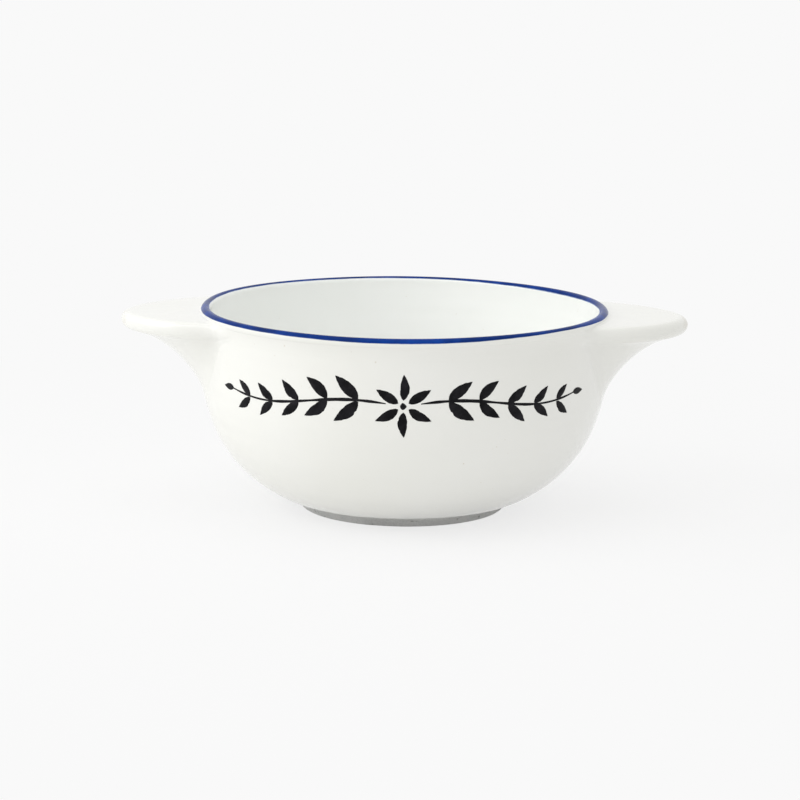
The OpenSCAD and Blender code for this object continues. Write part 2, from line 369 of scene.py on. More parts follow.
def swept(lines, turns):
    """Radial lines (radius, height), one per direction in degrees, as points in the frame."""
    lines = np.asarray(lines)
    a = np.radians(np.asarray(turns))[:, None]
    return by_hand(np.stack([lines[..., 0] * np.cos(a), lines[..., 0] * np.sin(a), lines[..., 1]], axis=-1))


def grid_normals(points, closed):
    """Unit normals of a grid of points; closed grids end where they start."""
    if closed:
        ring = np.concatenate([points[-2:-1], points, points[1:2]])
        along = ring[2:] - ring[:-2]
    else:
        along = np.gradient(points, axis=0)
    up = np.gradient(points, axis=1)
    normal = np.cross(along, up)
    return normal / (np.linalg.norm(normal, axis=-1)[..., None] + tiny_area)


def quads(values):
    """The four corner values of every cell of a grid, in order round the cell."""
    cells = np.stack([values[:-1, :-1], values[1:, :-1], values[1:, 1:], values[:-1, 1:]], axis=2)
    return cells.reshape(-1, 4, values.shape[-1])


def placed(name, data):
    """A new object in the scene."""
    thing = bpy.data.objects.new(name, data)
    bpy.context.scene.collection.objects.link(thing)
    return thing


# Corners are matched to this many steps in a millimetre, and edges sharper than this stay sharp
weld_per_mm = 1e4
sharp_from = radians(50)


def piece_from(name, patches, finish):
    """A mesh piece from grid patches: (points, normals or None, map or None), faces outwards."""
    corners, ways, maps = [], [], []
    for points, normals, uv in patches:
        corners.append(quads(points))
        ways.append(quads(np.zeros_like(points) if normals is None else normals))
        maps.append(quads(np.zeros(points.shape[:2] + (2,)) if uv is None else uv))
    corners, ways, maps = (np.concatenate(v) for v in (corners, ways, maps))
    keys = np.round(corners.reshape(-1, 3) * weld_per_mm).astype(np.int64)
    _, first, index = np.unique(keys, axis=0, return_index=True, return_inverse=True)
    index = index.reshape(-1, 4)
    keep = index != np.roll(index, 1, axis=1)
    flat_cell = (index[:, 0] == index[:, 2]) | (index[:, 1] == index[:, 3])
    four = keep.all(axis=1) & ~flat_cell
    three = (keep.sum(axis=1) == 3) & ~flat_cell
    faces = index[four].tolist() + index[three][keep[three]].reshape(-1, 3).tolist()
    loop_normals, loop_maps = (
        np.concatenate([v[four].reshape(-1, v.shape[-1]), v[three][keep[three]]]) for v in (ways, maps))
    mesh = bpy.data.meshes.new(name)
    mesh.from_pydata((corners.reshape(-1, 3)[first] * MM).tolist(), [], faces)
    mesh.shade_smooth()
    mesh.set_sharp_from_angle(angle=sharp_from)
    mesh.uv_layers.new(name="place").data.foreach_set("uv", loop_maps.astype(np.float32).ravel())
    mesh.normals_split_custom_set(loop_normals.tolist())
    mesh.materials.append(finish)
    return placed(name, mesh)


def coat_patches(front, normals, uv, depth):
    """The front of a coat, its back at a depth, and its edges where it is open."""
    back = front - normals * depth
    patches = [(front, normals, uv), (back[::-1], None, None)]
    patches.append((np.stack([back[:, 0], front[:, 0]], axis=1), None, None))
    patches.append((np.stack([front[:, -1], back[:, -1]], axis=1), None, None))
    if not np.allclose(front[0], front[-1], atol=1e-6):
        patches.append((np.stack([front[0], back[0]], axis=0)[::-1], None, None))
        patches.append((np.stack([back[-1], front[-1]], axis=0)[::-1], None, None))
    return patches


# Finishes
def finish_named(name):
    """A new material with its shader, ready for nodes."""
    finish = bpy.data.materials.new(name)
    finish.use_nodes = True
    tree = finish.node_tree
    shader = tree.nodes["Principled BSDF"]
    return finish, tree, shader


def feed(tree, sockets, values):
    """Links each socket to its value, or sets it where the value is a plain number."""
    for socket, value in zip(sockets, values):
        if isinstance(value, bpy.types.NodeSocket):
            tree.links.new(value, socket)
        else:
            socket.default_value = value


def place_of(tree):
    """Object coordinates, in metres."""
    return tree.nodes.new("ShaderNodeTexCoord").outputs["Object"]


def clouds(tree, place, scale, detail=3.0, roughness=0.5, distortion=0.0):
    """A soft noise from 0 to 1 at a number of blotches per metre."""
    noise = tree.nodes.new("ShaderNodeTexNoise")
    noise.inputs["Scale"].default_value = scale
    noise.inputs["Detail"].default_value = detail
    noise.inputs["Roughness"].default_value = roughness
    noise.inputs["Distortion"].default_value = distortion
    tree.links.new(place, noise.inputs["Vector"])
    return noise.outputs["Fac"]


def ramp(tree, value, stops):
    """Colours at values from 0 to 1, as (value, colour) pairs."""
    node = tree.nodes.new("ShaderNodeValToRGB")
    while len(node.color_ramp.elements) < len(stops):
        node.color_ramp.elements.new(0.5)
    for element, (at, colour) in zip(node.color_ramp.elements, stops):
        element.position = at
        element.color = (*colour, 1)
    tree.links.new(value, node.inputs["Fac"])
    return node.outputs["Color"]


def span(tree, value, low, high, to_low=0.0, to_high=1.0):
    """A value carried from one range to another, and held at its ends."""
    node = tree.nodes.new("ShaderNodeMapRange")
    for socket, number in zip(("From Min", "From Max", "To Min", "To Max"), (low, high, to_low, to_high)):
        node.inputs[socket].default_value = number
    tree.links.new(value, node.inputs["Value"])
    return node.outputs["Result"]


def mixed(tree, share, first, second):
    """Two colours mixed by a share; either may be a socket or plain numbers."""
    node = tree.nodes.new("ShaderNodeMix")
    node.data_type = "RGBA"
    node.blend_type = "MIX"
    for socket, value in (("Factor", share), ("A", first), ("B", second)):
        named = [s for s in node.inputs if s.name == socket]
        target = next(s for s in named if socket == "Factor" or s.type == "RGBA")
        if isinstance(value, bpy.types.NodeSocket):
            tree.links.new(value, target)
        elif socket == "Factor":
            target.default_value = value
        else:
            target.default_value = (*value, 1)
    return next(s for s in node.outputs if s.type == "RGBA")


def summed(tree, first, second, operation="ADD"):
    """Two values added, or put together by another operation."""
    node = tree.nodes.new("ShaderNodeMath")
    node.operation = operation
    feed(tree, node.inputs, (first, second))
    return node.outputs["Value"]


def bumped(tree, shader, height, distance):
    """A relief of a real depth in metres under the gloss."""
    bump = tree.nodes.new("ShaderNodeBump")
    bump.inputs["Distance"].default_value = distance
    tree.links.new(height, bump.inputs["Height"])
    tree.links.new(bump.outputs["Normal"], shader.inputs["Normal"])


def across_of(tree):
    """The share of the way across a painted line, from the piece's own map."""
    uv = tree.nodes.new("ShaderNodeUVMap")
    uv.uv_map = "place"
    split = tree.nodes.new("ShaderNodeSeparateXYZ")
    tree.links.new(uv.outputs["UV"], split.inputs["Vector"])
    return split.outputs["Y"]


# The height of each relief, in metres, and how much of the glaze's is its fine skin
glaze_relief_h = 0.00035
foot_relief_h = 0.00025
clay_relief_h = 0.0002
enamel_relief_h = 0.0001
skin_share = 0.05


def glaze_relief(tree, shader, place):
    """The glaze's soft rise and fall, and its fine skin."""
    slow = clouds(tree, place, 42, 2.0, 0.45)
    skin = clouds(tree, place, 420, 2.0, 0.5)
    bumped(tree, shader, summed(tree, slow, summed(tree, skin, skin_share, "MULTIPLY")), glaze_relief_h)


# Where the glaze runs thin on the lugs: its start and end in millimetres from the tips
thin_from = 3
thin_to = 0.2

# The same in metres from the middle of the bowl
lug_tip_from = (lug_span / 2 - thin_from) * MM
lug_tip_to = (lug_span / 2 - thin_to) * MM

# Colours of small marks: specks in the glaze, bare tips, the line's thin edges, scuffs on the foot
speck_colour = (0.6, 0.52, 0.4)
tip_colour = (0.5, 0.4, 0.27)
thin_line_colour = (0.42, 0.50, 0.68)
scuff_colour = (0.2, 0.19, 0.18)

# How much gloss the painted layers have, against 0.5 for plain glaze
line_gloss = 0.06
enamel_gloss = 0.08


def white_glaze(name, thin, usual, thick, tips=0.0):
    """White tin glaze in three shades, from where it lies thin to where it lies thick."""
    finish, tree, shader = finish_named(name)
    place = place_of(tree)
    cast = ramp(tree, clouds(tree, place, 16, 3.0, 0.5), [
        (0.3, thin),
        (0.55, usual),
        (0.8, thick)])
    specks = span(tree, clouds(tree, place, 900, 1.0, 0.4), 0.785, 0.84)
    colour = mixed(tree, summed(tree, specks, 0.4, "MULTIPLY"), cast, speck_colour)
    if tips:
        split = tree.nodes.new("ShaderNodeSeparateXYZ")
        tree.links.new(place, split.inputs["Vector"])
        far = summed(tree, split.outputs["X"], 0.0, "ABSOLUTE")
        worn = span(tree, far, lug_tip_from, lug_tip_to, 0, tips)
        worn = summed(tree, worn, span(tree, clouds(tree, place, 240, 2.0), 0.35, 0.65), "MULTIPLY")
        colour = mixed(tree, worn, colour, tip_colour)
    tree.links.new(colour, shader.inputs["Base Color"])
    wet = span(tree, clouds(tree, place, 60, 3.0), 0.3, 0.7, 0.08, 0.15)
    tree.links.new(wet, shader.inputs["Roughness"])
    shader.inputs["IOR"].default_value = 1.5
    glaze_relief(tree, shader, place)
    return finish


def cobalt_glaze():
    """Cobalt blue from a loaded brush, with ragged edges where it lies thin."""
    finish, tree, shader = finish_named("cobalt_rim_line")
    place = place_of(tree)
    across = across_of(tree)
    strokes = clouds(tree, place, 95, 4.0, 0.6, 0.4)
    pools = clouds(tree, place, 28, 2.0, 0.5)
    thick = summed(tree, summed(tree, strokes, 0.55, "MULTIPLY"), summed(tree, pools, 0.45, "MULTIPLY"))
    body = ramp(tree, thick, [
        (0.32, (0.001, 0.012, 0.08)),
        (0.5, (0.002, 0.03, 0.2)),
        (0.68, (0.006, 0.06, 0.36))])
    rag = summed(tree, clouds(tree, place, 260, 3.0, 0.6), 0.1, "MULTIPLY")
    start = span(tree, summed(tree, across, rag), 0.03, 0.1)
    end = span(tree, summed(tree, across, rag, "SUBTRACT"), 0.94, 0.87)
    cover = summed(tree, start, end, "MULTIPLY")
    colour = mixed(tree, cover, thin_line_colour, body)
    tree.links.new(colour, shader.inputs["Base Color"])
    tree.links.new(span(tree, strokes, 0.3, 0.7, 0.16, 0.28), shader.inputs["Roughness"])
    shader.inputs["Specular IOR Level"].default_value = line_gloss
    glaze_relief(tree, shader, place)
    return finish


def bare_clay_and_painted_shade():
    """The bare foot: grainy, patchy and scuffed, and grey partly as painted shade under the bowl's
    overhang.
    """
    finish, tree, shader = finish_named("bare_foot_with_painted_shade")
    place = place_of(tree)
    grain = clouds(tree, place, 1500, 4.0, 0.7)
    tone = clouds(tree, place, 70, 4.0, 0.6)
    both = summed(tree, summed(tree, grain, 0.5, "MULTIPLY"), summed(tree, tone, 0.5, "MULTIPLY"))
    # The grey is partly painted shade: darker than bare clay, for the shade under the bowl's overhang
    colour = ramp(tree, both, [
        (0.34, (0.62, 0.62, 0.615)),
        (0.5, (0.73, 0.73, 0.72)),
        (0.66, (0.8, 0.79, 0.78))])
    scuffs = span(tree, clouds(tree, place, 300, 2.0, 0.6), 0.62, 0.7)
    colour = mixed(tree, summed(tree, scuffs, 0.6, "MULTIPLY"), colour, scuff_colour)
    tree.links.new(colour, shader.inputs["Base Color"])
    shader.inputs["Roughness"].default_value = 0.85
    bumped(tree, shader, grain, foot_relief_h)
    return finish


def hidden_clay(name, colour):
    """Fired clay that the glaze covers."""
    finish, tree, shader = finish_named(name)
    place = place_of(tree)
    grain = clouds(tree, place, 900, 4.0, 0.7)
    dark = tuple(c * 0.8 for c in colour)
    tree.links.new(ramp(tree, grain, [(0.35, dark), (0.65, colour)]), shader.inputs["Base Color"])
    shader.inputs["Roughness"].default_value = 0.8
    bumped(tree, shader, grain, clay_relief_h)
    return finish


def black_enamel():
    """Black enamel, thin and a little uneven."""
    finish, tree, shader = finish_named("black_enamel_strokes")
    place = place_of(tree)
    thin = clouds(tree, place, 320, 3.0, 0.6)
    body = ramp(tree, thin, [
        (0.35, (0.004, 0.004, 0.005)),
        (0.75, (0.018, 0.017, 0.02))])
    tree.links.new(body, shader.inputs["Base Color"])
    tree.links.new(span(tree, thin, 0.3, 0.7, 0.3, 0.45), shader.inputs["Roughness"])
    shader.inputs["Specular IOR Level"].default_value = enamel_gloss
    bumped(tree, shader, thin, enamel_relief_h)
    return finish


glaze = white_glaze(
    "white_tin_glaze",
    thin=(0.852, 0.852, 0.806),
    usual=(0.867, 0.867, 0.83),
    thick=(0.878, 0.876, 0.853),
    tips=0.5)
# The same glaze inside, painted lighter and a little greener: painted light for the brighter lit inside of
# the bowl
glaze_inside_painted_light = white_glaze(
    "white_tin_glaze_inside_painted_light",
    thin=(0.915, 0.93, 0.905),
    usual=(0.93, 0.94, 0.92),
    thick=(0.94, 0.945, 0.93))
blue = cobalt_glaze()
foot_clay_and_painted_shade = bare_clay_and_painted_shade()
body_clay = hidden_clay("fired_clay_body", (0.72, 0.62, 0.5))
slip_clay = hidden_clay("fired_joining_slip", (0.62, 0.5, 0.38))
enamel = black_enamel()

hidden_pieces = {
    "bowl_wall": body_clay,
    "right_lug": body_clay,
    "left_lug": body_clay,
    "right_lug_slip": slip_clay,
    "left_lug_slip": slip_clay}
for hidden, clay in hidden_pieces.items():
    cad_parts[hidden].data.materials.clear()
    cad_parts[hidden].data.materials.append(clay)


# The glazed surface outside, with both lugs growing out of it, as one grid that is cut into its coats.
# Rows below, on and above a lug's face, and degrees from line to line over the lugs and between them.
lower_n = 74
lug_n = 92
upper_n = 9
lug_step = 0.5
open_step = 2.0


def all_turns():
    """Directions round the bowl in degrees, closer together over the lugs."""
    over = np.arange(-lug_half_turn, lug_half_turn + lug_step / 2, lug_step)
    between = np.arange(lug_half_turn + open_step, 180 - lug_half_turn - open_step / 2, open_step)
    return np.concatenate([over, between, over + 180, between + 180, [360 - lug_half_turn]])


# The brush's waves round the bowl: their numbers, how they weaken with the number, and their usual sum
wander_counts = (1, 2, 3, 5, 8, 13, 21, 34)
wander_power = 0.4
wander_sum = 2.5


def band_wave(turns, seed, size):
    """How the brush wandered along an edge of the rim line, in degrees round the rolled edge."""
    rng = np.random.default_rng(seed)
    a = np.radians(turns)
    waves = [(n, rng.uniform(0.5, 1) / n ** wander_power, rng.uniform(0, 2 * pi)) for n in wander_counts]
    return size * sum(share * np.sin(n * a + start) for n, share, start in waves) / wander_sum


# The line's two edges, in degrees round the rolled edge from its outermost point over its top
band_from = 15.0
band_to = 139.0

# Where the line is thinner, wider or starts lower: degrees on the rolled edge, its middle and its spread
line_thin = (20, -40, 20)
line_wide = (26, 30, 36)
line_low = (7, -92, 22)

# The brush's wander at the line's two edges: the seed, and the size in degrees on the rolled edge
wander_out = (4, 4.5)
wander_in = (9, 6.0)


def band_edges(turns):
    """The angles on the rolled edge between which the blue line lies."""
    from_right = (np.asarray(turns) + 180) % 360 - 180
    thin, wide, low = (
        size * np.exp(-((from_right - at) / spread_turn) ** 2)
        for size, at, spread_turn in (line_thin, line_wide, line_low))
    edge_from = band_from + thin - low + band_wave(turns, *wander_out)
    edge_to = band_to + wide + band_wave(turns, *wander_in)
    return edge_from, edge_to


turns = all_turns()
edge_out, edge_in = band_edges(turns)
join_turn = asin((lug_join_z - lip_middle[1]) / lip_r)


def outer_line(turn, band_turn):
    """One radial line up the outside, from the foot over the lug's face to the rim line."""
    from_right = abs((turn + 180) % 360 - 180)
    off = min(from_right, 180 - from_right)
    reach = float(reach_at([off])[0])
    low = root_z(reach)
    below = outside_line[outside_line[:, 1] < low]
    foot_up = np.concatenate([below, [[float(wall_at(low)), low]]])
    lower = evened(foot_up, lower_n)
    face = lug_section(reach, lug_n)
    upper = lip_arc(np.linspace(join_turn, radians(band_turn), upper_n))
    upper[0] = face[-1]
    return np.concatenate([lower, face[1:], upper[1:]])


# The lines over which a lug's end is eased, and the rows over which that fades below its join
end_ease = 5.0
end_ease_to = 11
ease_fade = 6


def eased(lines):
    """The lines with the lugs' ends run softly into the wall, from one direction to the next."""
    ease = np.arange(-end_ease_to, end_ease_to + 1)
    share = np.exp(-(ease / end_ease) ** 2)
    share /= share.sum()
    ring = lines[:-1]
    soft = sum(w * np.roll(ring, k, axis=0) for k, w in zip(ease, share))
    soft = np.concatenate([soft, soft[:1]])
    rows = np.arange(lines.shape[1])
    keep = np.clip((face_to - rows) / ease_fade, 0, 1)[None, :, None]
    soft = lines + (soft - lines) * keep
    wall = wall_at(soft[..., 1])
    soft[..., 0] = np.where(rows < face_to, np.maximum(soft[..., 0], wall), soft[..., 0])
    return soft


face_from = lower_n - 1
face_to = lower_n + lug_n - 2
face_rows = slice(face_from, face_to + 1)
outer_lines = eased(np.array([outer_line(t, b) for t, b in zip(turns, edge_out)]))
outer = swept(outer_lines, turns)
outer_normals = grid_normals(outer, closed=True)
uv_turn = np.radians(turns)[:, None]
outer_uv = np.stack(np.broadcast_arrays(uv_turn, np.linspace(0, 1, outer.shape[1])[None, :]), axis=-1)

# The coats of the scene are a little thinner than the solids', so that they clear the clay
coat_share = 0.9
coat_t = glaze_t * coat_share


def grid_cut(u, v):
    """A part of the grid of the outside, with its normals and its map."""
    return outer[u, v], outer_normals[u, v], outer_uv[u, v]


lug_last = int(round(2 * lug_half_turn / lug_step))
left_first = int(np.argmin(np.abs(turns - (180 - lug_half_turn))))
left_last = left_first + lug_last


def made(name, node, patches, finish):
    """A piece that stands for a node, rides with the bowl and hides the node."""
    piece = piece_from(name, patches, finish)
    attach(piece, "root")
    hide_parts(node)


def wall_coat():
    """The outside glaze: the whole wall less the two faces of the lugs."""
    everything = slice(None)
    patches = []
    patches += open_coat(*grid_cut(everything, slice(0, face_from + 1)))
    patches += open_coat(*grid_cut(everything, slice(face_to, None)))
    patches += open_coat(*grid_cut(slice(lug_last, left_first + 1), face_rows))
    patches += open_coat(*grid_cut(slice(left_last, None), face_rows))
    made("outer_glaze_coat", "outer_glaze", patches, glaze)


def open_coat(points, normals, uv):
    """A coat of glaze over a grid of points."""
    return coat_patches(points, normals, uv, coat_t)


def lug_coat(name, node, first, last):
    """The glaze over the face of one lug."""
    cut = grid_cut(slice(first, last + 1), face_rows)
    made(name, node, open_coat(*cut), glaze)


wall_coat()
lug_coat("right_lug_glaze_coat", "right_lug_glaze", 0, lug_last)
lug_coat("left_lug_glaze_coat", "left_lug_glaze", left_first, left_last)


# The blue line over the rolled edge, and the glaze inside down to the middle of the floor
band_n = 34
throat_n = 40
floor_n = 92
inner_lip_n = 14

# How many rows of the glaze on either side the normals of the blue line take in
lap_n = 3


def inner_line(band_turn):
    """One radial line down the inside, from the rim line to the middle of the floor."""
    arc = lip_arc(np.linspace(radians(band_turn), pi, inner_lip_n))
    bottom = set_back(belly, 1 - steps(belly_n, 1), skin_t)
    rest = np.concatenate([cubic(throat, steps(throat_n, 1)), bottom, [[0, floor_z]]])
    return np.concatenate([arc[:-1], evened(np.concatenate([arc[-1:], rest]), floor_n)])


band_turns = [np.linspace(radians(a), radians(b), band_n) for a, b in zip(edge_out, edge_in)]
band = swept([lip_arc(a) for a in band_turns], turns)
inner = swept([inner_line(b) for b in edge_in], turns)
over_lip = np.concatenate([outer[:, -lap_n - 1:-1], band, inner[:, 1:lap_n + 1]], axis=1)
lip_normals = grid_normals(over_lip, closed=True)
band_normals = lip_normals[:, lap_n:lap_n + band_n]
inner_normals = grid_normals(inner, closed=True)
inner_normals[:, 0] = band_normals[:, -1]
inner_normals[:, -1] = (0, 0, 1)
band_uv = np.stack(np.broadcast_arrays(uv_turn, np.linspace(0, 1, band_n)[None, :]), axis=-1)
inner_uv = np.stack(np.broadcast_arrays(uv_turn, np.linspace(0, 1, inner.shape[1])[None, :]), axis=-1)
made("rim_band_line", "rim_band", open_coat(band, band_normals, band_uv), blue)
inner_coat = open_coat(inner, inner_normals, inner_uv)
made("inner_glaze_coat", "inner_glaze", inner_coat, glaze_inside_painted_light)


# The bare foot ring, its edges worn round, and the glaze within it
foot_in_r = foot_r - foot_w
foot_top_in_r = foot_in_r - foot_flare
worn_r = 0.45
worn_in_share = 0.8
worn_n = 8
foot_step = 0.5
foot_turn_step = 2.0
foot_seed = 3
foot_wear_counts = (3, 5, 9, 14)
foot_wear = (0.01, 0.03)
foot_wear_start = (0, 6)
base_turn_step = 3.0
base_n = 24
base_sag = 0.25
base_coat_t = 0.3


def foot_line():
    """The ring's outline, from inside its top down, over the ground edges and up outside."""
    corner_a = np.linspace(pi, 1.5 * pi, worn_n)
    corner = np.stack([np.cos(corner_a), np.sin(corner_a)], axis=1) * worn_r
    return np.concatenate([
        [[foot_top_in_r, foot_h], [foot_top_in_r, belly_z]],
        corner + [foot_in_r + worn_r * worn_in_share, worn_r],
        (corner * [-1, 1])[::-1] + [foot_r - worn_r * worn_in_share, worn_r],
        [[foot_top_r, belly_z], [foot_top_r, foot_h]]])


def filled(line, longest):
    """A line with points added so that no stretch is longer than given."""
    out = [line[0]]
    for a, b in zip(line[:-1], line[1:]):
        n = max(1, int(np.ceil(np.linalg.norm(b - a) / longest)))
        out.extend(a + (b - a) * k / n for k in range(1, n + 1))
    return np.array(out)


def foot_ring():
    """The foot ring, worn a little unevenly where it stands."""
    ring_turns = np.arange(0, 361, foot_turn_step)
    line = filled(foot_line(), foot_step)
    line = np.concatenate([line, line[:1]])[::-1]
    points = swept([line] * len(ring_turns), ring_turns)
    rng = np.random.default_rng(foot_seed)
    a = np.radians(ring_turns)[:, None]
    points[..., 2] = np.clip(points[..., 2], 0, None)
    wear = sum(
        rng.uniform(*foot_wear) * np.sin(n * a + rng.uniform(*foot_wear_start)) for n in foot_wear_counts)
    low = np.clip(1 - points[..., 2] / foot_h, 0, 1)
    points[..., 2] += np.clip(wear, 0, None) * low
    made("bare_foot_ring", "foot_ring", [(points[::-1], None, None)], foot_clay_and_painted_shade)


def base_coat():
    """The glaze on the underside, within the ring."""
    ring_turns = np.arange(0, 361, base_turn_step)
    radii = np.linspace(foot_top_in_r, 0, base_n)
    sag = belly_z + base_sag * (1 - (radii / foot_top_in_r) ** 2)
    line = np.stack([radii, sag], axis=1)
    points = swept([line[::-1]] * len(ring_turns), ring_turns)
    patches = coat_patches(points[::-1], grid_normals(points[::-1], closed=True), None, base_coat_t)
    made("base_glaze_coat", "base_glaze", patches, glaze)


foot_ring()
base_coat()


# The painted garland: brush strokes laid flat along the wall, then bent round it by the node tree
garland_l = 124.0
garland_z = 44.5
leaf_l = 9.5
leaf_w = 3.6
stem_w = 1.1
leaf_pairs = 5
petal_n = 6
leaf_heel = 0.8
leaf_fullness = 0.85
leaf_kinds = 4
leaf_lean = 0.12
leaf_tilt = 38
leaf_tilt_wander = 5
leaf_first_share = 0.22
leaf_fade_share = 0.35
leaf_size_wander = (0.93, 1.05)
last_leaf_share = 0.6
leaf_root_share = 0.4
petal_share = 0.82
petal_wander = 0.05
berry_share = 0.28
berry_width_share = 0.6
berry_seed = 8
stroke_t = 0.11
stroke_n = 14
ragged_share = 0.025
garland_seed = 12

# A stroke's section: shares of its width and of its thickness, with both edges a little into the glaze
stroke_section = ((0, -0.05), (0.06, 0.6), (0.3, 1), (0.7, 1), (0.94, 0.6), (1, -0.05))
stem_section = ((-1, -0.05), (-0.8, 0.6), (0, 1), (0.8, 0.6), (1, -0.05))

# The stem starts clear of the flower, tapers outwards, and swells and thins as the brush was pressed
stem_n = 40
heart_gap_share = 0.085
stem_t_share = 0.9
stem_taper_share = 0.8
stem_wave_share = 0.16
stem_presses = ((0.16, 23), (0.1, 51))
stem_start_share = 0.25
stem_start_n = 5


def half_width(t, width):
    """Half the width of a pressed brush stroke at a share of its length."""
    return width / 2 * max(0.0, sin(pi * t ** leaf_heel)) ** leaf_fullness


def ribbon(name, rows):
    """A flat strip through rows of points in millimetres, closed underneath."""
    verts = [(x * MM, y * MM, z * MM) for row in rows for x, y, z in row]
    faces = []
    wide = len(rows[0])
    for i in range(len(rows) - 1):
        for j in range(wide - 1):
            a = i * wide + j
            faces.append((a, a + wide, a + wide + 1, a + 1))
        faces.append((i * wide, i * wide + wide - 1, (i + 2) * wide - 1, (i + 1) * wide))
    mesh = bpy.data.meshes.new(name)
    mesh.from_pydata(verts, [], faces)
    return placed(name, mesh)


def stroke_mesh(name, length, width, lean, seed):
    """A flat brush stroke along X, X and Z in its plane, -Y out of the wall, with a thick middle."""
    rng = np.random.default_rng(seed)
    ragged = rng.normal(0, width * ragged_share, (stroke_n + 1, 2))
    rows = []
    for i in range(stroke_n + 1):
        t = i / stroke_n
        wide = half_width(t, width)
        middle = lean * width * sin(pi * t)
        top = middle + wide + ragged[i, 0] * sin(pi * t)
        low = middle - wide + ragged[i, 1] * sin(pi * t)
        rows.append([
            (length * t, -high * stroke_t, low + (top - low) * share) for share, high in stroke_section])
    return ribbon(name, rows)


def stem_height(share):
    """The height of the stem's middle at a share of its length."""
    return garland_z + leaf_l * stem_wave_share * sin(2 * pi * share)


def stem_mesh():
    """Half of the stem, from the flower out to the last leaf."""
    rows = []
    for i in range(stem_n + 1):
        share = heart_gap_share + (1 - heart_gap_share) * i / stem_n
        pressed = 1 + sum(size * sin(count * share) for size, count in stem_presses)
        thick = stem_w / 2 * sqrt(1 - stem_taper_share * i / stem_n) * pressed
        thick *= min(1, stem_start_share + i / stem_start_n)
        x = garland_l / 2 * share
        z = stem_height(share)
        rows.append([(x, -high * stroke_t * stem_t_share, z + side * thick) for side, high in stem_section])
    return ribbon("stem_stroke", rows)


# The rays that find the wall start well outside it, in metres
ray_from = rim_r * 1.5 * MM
ray_length = 1.0


def bend_round_wall(name, flat, wall, finish):
    """A node tree that wraps flat strokes round the wall: X runs along it, -Y stands off it."""
    tree = bpy.data.node_groups.new(name, "GeometryNodeTree")
    face = tree.interface
    sockets = (("Strokes", "Geometry"), ("Wall", "Object"), ("Wall radius", "Float"), ("Reach", "Float"))
    for socket, kind in sockets:
        face.new_socket(socket, in_out="INPUT", socket_type="NodeSocket" + kind)
    face.new_socket("Strokes", in_out="OUTPUT", socket_type="NodeSocketGeometry")
    node, link = tree.nodes.new, tree.links.new
    start, end = node("NodeGroupInput"), node("NodeGroupOutput")

    def maths(operation, *values):
        """A value from one or two others."""
        step = node("ShaderNodeMath")
        step.operation = operation
        feed(tree, step.inputs, values)
        return step.outputs[0]

    def vector(x, y, z):
        """A vector from its three parts."""
        step = node("ShaderNodeCombineXYZ")
        feed(tree, step.inputs, (x, y, z))
        return step.outputs[0]

    def vector_maths(operation, socket, first, second):
        """A vector from a vector and what goes into a second socket."""
        step = node("ShaderNodeVectorMath")
        step.operation = operation
        link(first, step.inputs[0])
        link(second, step.inputs[socket])
        return step.outputs["Vector"]

    def scaled(a, k):
        """A vector times a value."""
        return vector_maths("SCALE", "Scale", a, k)

    def added(a, b):
        """Two vectors added."""
        return vector_maths("ADD", 1, a, b)

    position = node("GeometryNodeInputPosition")
    split = node("ShaderNodeSeparateXYZ")
    link(position.outputs[0], split.inputs[0])
    x, y, z = split.outputs
    angle = maths("DIVIDE", x, start.outputs["Wall radius"])
    out = vector(maths("SINE", angle), maths("MULTIPLY", maths("COSINE", angle), -1.0), 0.0)
    height = vector(0.0, 0.0, z)
    source = added(scaled(out, start.outputs["Reach"]), height)
    info = node("GeometryNodeObjectInfo")
    link(start.outputs["Wall"], info.inputs["Object"])
    ray = node("GeometryNodeRaycast")
    link(info.outputs["Geometry"], ray.inputs["Target Geometry"])
    link(source, ray.inputs["Source Position"])
    link(scaled(out, maths("MULTIPLY", start.outputs["Reach"], -1.0)), ray.inputs["Ray Direction"])
    ray.inputs["Ray Length"].default_value = ray_length
    place = node("GeometryNodeSetPosition")
    link(start.outputs["Strokes"], place.inputs["Geometry"])
    stand_off = scaled(out, maths("MULTIPLY", y, -1.0))
    link(added(ray.outputs["Hit Position"], stand_off), place.inputs["Position"])
    smooth = node("GeometryNodeSetShadeSmooth")
    link(place.outputs[0], smooth.inputs[0])
    real = node("GeometryNodeRealizeInstances")
    link(smooth.outputs[0], real.inputs[0])
    paint = node("GeometryNodeSetMaterial")
    paint.inputs["Material"].default_value = finish
    link(real.outputs[0], paint.inputs["Geometry"])
    link(paint.outputs[0], end.inputs[0])
    modifier = flat.modifiers.new(name, "NODES")
    modifier.node_group = tree
    values = {"Wall": wall, "Wall radius": wall_r * MM, "Reach": ray_from}
    for item in face.items_tree:
        if item.in_out == "INPUT" and item.name in values:
            modifier[item.identifier] = values[item.name]


def lay(verts, faces, stroke, at, tilt, size, mirrored=False):
    """Adds a stroke to the flat painting at a place, turned, sized and perhaps mirrored."""
    first = len(verts)
    c, s = cos(tilt) * size, sin(tilt) * size
    for v in stroke.data.vertices:
        x = at[0] + v.co.x * c - v.co.z * s
        z = at[1] + v.co.x * s + v.co.z * c
        verts.append((-x if mirrored else x, v.co.y, z))
    for p in stroke.data.polygons:
        ids = [first + k for k in p.vertices]
        faces.append(ids[::-1] if mirrored else ids)


